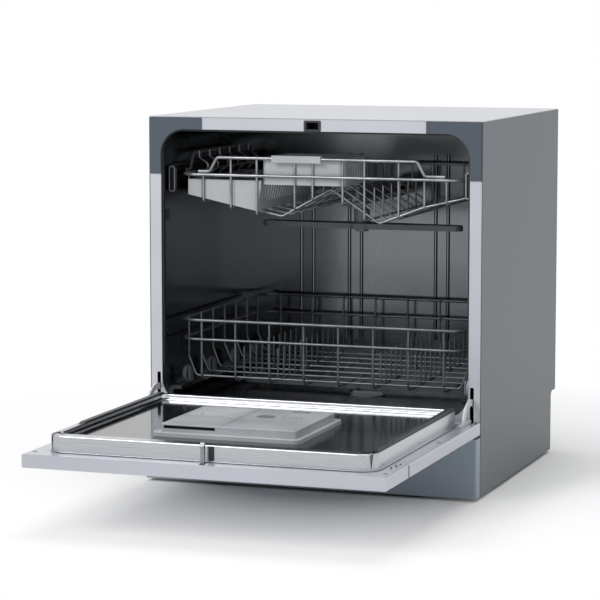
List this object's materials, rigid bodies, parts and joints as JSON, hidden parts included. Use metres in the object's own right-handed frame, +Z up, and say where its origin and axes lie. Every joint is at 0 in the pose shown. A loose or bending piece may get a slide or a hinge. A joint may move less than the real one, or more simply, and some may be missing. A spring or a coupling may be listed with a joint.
{
  "type": "countertop dishwasher",
  "caption": "Countertop dishwasher with a drop-down front door, steel tub, two wire baskets, spray arms, detergent dispenser and rear water connections.",
  "frame": {"origin": "centre of the base pan's underside, 5 mm above the surface that the feet stand on", "axes": "+X to the machine's right as seen from the front, +Y to the back, +Z up"},
  "size_m": [0.55, 0.961, 0.585],
  "materials": {
    "white_enamel": "smooth satin enamel",
    "galvanised": "zinc coated sheet",
    "stainless": "brushed stainless sheet",
    "liner_steel": "satin stainless sheet",
    "light_plastic": "moulded light grey polypropylene",
    "mid_plastic": "moulded grey polypropylene",
    "dark_plastic": "moulded dark polypropylene",
    "white_plastic": "moulded white plastic",
    "black_rubber": "black rubber",
    "coated_wire": "nylon coated wire, light grey",
    "display": "smoked window",
    "bracket_steel": "plain steel"
  },
  "bodies": {
    "cabinet": {"side_panel_left": "white_enamel", "side_panel_right": "white_enamel", "top_panel": "white_enamel", "back_panel": "galvanised", "base_pan": "dark_plastic", "kick_panel": "galvanised", "feet": "black_rubber", "front_frame": "stainless", "corner_plates": "dark_plastic", "tub_shell": "stainless", "tub_back": "stainless", "tub_floor": "stainless", "door_seal": "black_rubber", "latch_socket": "light_plastic", "rail_guides": "light_plastic", "wheel_ledges": "stainless", "hinge_brackets": "bracket_steel", "sump": "mid_plastic", "wash_pump": "dark_plastic", "drain_pump": "dark_plastic", "feed_pipe": "mid_plastic", "inlet_valve": "white_plastic", "drain_spigot": "mid_plastic", "cord_gland": "dark_plastic", "filter_plate": "stainless"},
    "door": {"door_panel": "white_enamel", "control_fascia": "white_plastic", "door_liner": "liner_steel", "wheel_tracks": "mid_plastic", "hinge_arms": "white_plastic", "dispenser_body": "light_plastic", "display_window": "display"},
    "lower_basket": {"lower_rims": "coated_wire", "lower_wires": "coated_wire", "wheel_axles": "mid_plastic"},
    "upper_basket": {"upper_rims": "coated_wire", "upper_floor_wires": "coated_wire", "upper_wall_wires": "coated_wire", "upper_rails": "light_plastic", "upper_conduit": "light_plastic", "cutlery_tray": "light_plastic", "side_tray": "light_plastic"},
    "lower_arm": {"lower_spray_arm": "light_plastic"},
    "upper_arm": {"upper_spray_arm": "light_plastic"},
    "filter_cup": {"filter_cup": "mid_plastic"},
    "detergent_lid": {"detergent_lid": "light_plastic"},
    "rinse_cap": {"rinse_cap": "mid_plastic"},
    "latch_hook": {"latch_hook": "bracket_steel"},
    "power_button": {"power_button": "light_plastic"},
    "programme_button_1": {"programme_button_1": "light_plastic"},
    "programme_button_2": {"programme_button_2": "light_plastic"},
    "programme_button_3": {"programme_button_3": "light_plastic"},
    "wheel_left_1": {"wheel_left_1": "mid_plastic"},
    "wheel_left_2": {"wheel_left_2": "mid_plastic"},
    "wheel_left_3": {"wheel_left_3": "mid_plastic"},
    "wheel_left_4": {"wheel_left_4": "mid_plastic"},
    "wheel_right_1": {"wheel_right_1": "mid_plastic"},
    "wheel_right_2": {"wheel_right_2": "mid_plastic"},
    "wheel_right_3": {"wheel_right_3": "mid_plastic"},
    "wheel_right_4": {"wheel_right_4": "mid_plastic"}
  },
  "joints": [
    {"name": "door_hinge", "type": "hinge", "parent": "cabinet", "child": "door", "pos_m": [0, -0.25, 0.109], "axis": [-1, 0, 0], "range_deg": [0, 90]},
    {"name": "lower_basket_slide", "type": "slide", "parent": "cabinet", "child": "lower_basket", "axis": [0, 1, 0], "range_m": [-0.352, 0]},
    {"name": "upper_basket_slide", "type": "slide", "parent": "cabinet", "child": "upper_basket", "axis": [0, 1, 0], "range_m": [-0.28, 0]},
    {"name": "lower_arm_spin", "type": "hinge", "parent": "cabinet", "child": "lower_arm", "pos_m": [0, -0.02, 0.13], "axis": [0, 0, 1], "continuous": true},
    {"name": "upper_arm_spin", "type": "hinge", "parent": "upper_basket", "child": "upper_arm", "pos_m": [0.008, -0.013, 0.393], "axis": [0, 0, 1], "continuous": true},
    {"name": "filter_cup_twist", "type": "hinge", "parent": "cabinet", "child": "filter_cup", "pos_m": [0.032, -0.052, 0.11], "axis": [0, 0, 1], "range_deg": [0, 90]},
    {"name": "detergent_lid_hinge", "type": "hinge", "parent": "door", "child": "detergent_lid", "pos_m": [-0.08, -0.425, 0.14806], "axis": [-1, 0, 0], "range_deg": [0, 90]},
    {"name": "rinse_cap_turn", "type": "hinge", "parent": "door", "child": "rinse_cap", "pos_m": [0.014, -0.488, 0.14606], "axis": [0, 0, 1], "range_deg": [0, 90]},
    {"name": "latch_release", "type": "hinge", "parent": "door", "child": "latch_hook", "pos_m": [0, -0.7075, 0.112], "axis": [-1, 0, 0], "range_deg": [0, 4], "stiffness_Nm_per_rad": 0.05},
    {"name": "programme_button_1_press", "type": "slide", "parent": "door", "child": "programme_button_1", "axis": [0, 0, 1], "range_m": [0, 0.0012], "stiffness_N_per_m": 300, "springref_m": -0.001},
    {"name": "programme_button_2_press", "type": "slide", "parent": "door", "child": "programme_button_2", "axis": [0, 0, 1], "range_m": [0, 0.0012], "stiffness_N_per_m": 300, "springref_m": -0.001},
    {"name": "programme_button_3_press", "type": "slide", "parent": "door", "child": "programme_button_3", "axis": [0, 0, 1], "range_m": [0, 0.0012], "stiffness_N_per_m": 300, "springref_m": -0.001},
    {"name": "power_button_press", "type": "slide", "parent": "door", "child": "power_button", "axis": [0, 0, 1], "range_m": [0, 0.0012], "stiffness_N_per_m": 300, "springref_m": -0.001},
    {"name": "wheel_left_1_roll", "type": "hinge", "parent": "lower_basket", "child": "wheel_left_1", "pos_m": [-0.24, -0.172, 0.1588], "axis": [1, 0, 0], "continuous": true},
    {"name": "wheel_left_2_roll", "type": "hinge", "parent": "lower_basket", "child": "wheel_left_2", "pos_m": [-0.24, -0.065, 0.1588], "axis": [1, 0, 0], "continuous": true},
    {"name": "wheel_left_3_roll", "type": "hinge", "parent": "lower_basket", "child": "wheel_left_3", "pos_m": [-0.24, 0.042, 0.1588], "axis": [1, 0, 0], "continuous": true},
    {"name": "wheel_left_4_roll", "type": "hinge", "parent": "lower_basket", "child": "wheel_left_4", "pos_m": [-0.24, 0.149, 0.1588], "axis": [1, 0, 0], "continuous": true},
    {"name": "wheel_right_1_roll", "type": "hinge", "parent": "lower_basket", "child": "wheel_right_1", "pos_m": [0.24, -0.172, 0.1588], "axis": [1, 0, 0], "continuous": true},
    {"name": "wheel_right_2_roll", "type": "hinge", "parent": "lower_basket", "child": "wheel_right_2", "pos_m": [0.24, -0.065, 0.1588], "axis": [1, 0, 0], "continuous": true},
    {"name": "wheel_right_3_roll", "type": "hinge", "parent": "lower_basket", "child": "wheel_right_3", "pos_m": [0.24, 0.042, 0.1588], "axis": [1, 0, 0], "continuous": true},
    {"name": "wheel_right_4_roll", "type": "hinge", "parent": "lower_basket", "child": "wheel_right_4", "pos_m": [0.24, 0.149, 0.1588], "axis": [1, 0, 0], "continuous": true}
  ]
}
